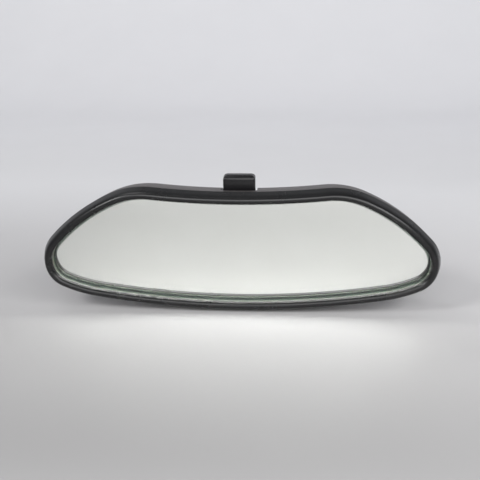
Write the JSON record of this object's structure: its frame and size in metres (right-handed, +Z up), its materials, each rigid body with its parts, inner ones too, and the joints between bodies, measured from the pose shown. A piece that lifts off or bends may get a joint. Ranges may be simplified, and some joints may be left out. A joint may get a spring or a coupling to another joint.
{
  "type": "interior rearview mirror",
  "caption": "Prismatic day/night rearview mirror: wide waisted glass in a moulded bezel and housing, flip tab, and a ball-jointed stem with a windscreen foot.",
  "frame": {"origin": "middle of the bounding box, on the surface that the mirror stands on", "axes": "X runs across the glass, the glass faces -Y, +Z is up as the mirror stands with its day/night tab at the top"},
  "size_m": [0.25, 0.096, 0.0859],
  "materials": {
    "bezel_plastic": "moulded grained black ABS",
    "housing_plastic": "satin black ABS",
    "tab_plastic": "satin black moulded nylon",
    "chassis_plastic": "matt black glass-filled nylon",
    "nylon": "natural nylon",
    "glass": "polished wedge glass with ground edge",
    "silver": "silvered, painted back",
    "foam": "closed-cell foam tape",
    "steel": "zinc-plated steel",
    "button_steel": "sintered steel",
    "spring_steel": "tempered spring steel",
    "cast_zinc": "black coated die casting"
  },
  "bodies": {
    "mount": {"ball_stem": "steel", "stem_sleeve": "housing_plastic", "mount_foot": "cast_zinc", "windscreen_button": "button_steel", "set_screw": "steel"},
    "rear_seat_ring": {"rear_seat": "nylon"},
    "front_seat_ring": {"front_seat": "nylon"},
    "plate": {"pivot_plate": "cast_zinc", "socket_cap": "cast_zinc", "spring_washer_1": "spring_steel", "spring_washer_2": "spring_steel", "spring_washer_3": "spring_steel", "cap_screw_1": "steel", "cap_screw_2": "steel", "cap_screw_3": "steel"},
    "head": {"bezel_frame": "bezel_plastic", "prism_glass": "glass", "silver_coat": "silver", "foam_pad": "foam", "chassis": "chassis_plastic", "rear_housing": "housing_plastic", "chassis_screw_1": "steel", "chassis_screw_2": "steel", "chassis_screw_3": "steel", "chassis_screw_4": "steel", "lever_pin": "steel", "lever_clip": "spring_steel", "hinge_pin": "steel", "hinge_clip": "spring_steel", "detent_leaf": "spring_steel", "leaf_rivet": "steel"},
    "lever": {"dip_lever": "tab_plastic", "link_pin": "steel"}
  },
  "joints": [
    {"name": "pan", "type": "hinge", "parent": "mount", "child": "rear_seat_ring", "pos_m": [0, -0.01801, 0.039], "axis": [0, 0, 1], "range_deg": [-20, 20]},
    {"name": "tilt", "type": "hinge", "parent": "rear_seat_ring", "child": "front_seat_ring", "pos_m": [0, -0.01801, 0.039], "axis": [1, 0, 0], "range_deg": [-15, 15]},
    {"name": "roll", "type": "hinge", "parent": "front_seat_ring", "child": "plate", "pos_m": [0, -0.01801, 0.039], "axis": [0, 1, 0], "range_deg": [-10, 10]},
    {"name": "dip", "type": "hinge", "parent": "plate", "child": "head", "pos_m": [0, -0.02551, 0.016], "axis": [-1, 0, 0], "range_deg": [0, 4.5]},
    {"name": "lever_flip", "type": "hinge", "parent": "head", "child": "lever", "pos_m": [0, -0.02551, 0.06997], "axis": [-1, 0, 0], "range_deg": [0, 67.5]}
  ],
  "couplings": [
    {"joint": "lever_flip", "follows": "dip", "ratio": 15}
  ]
}
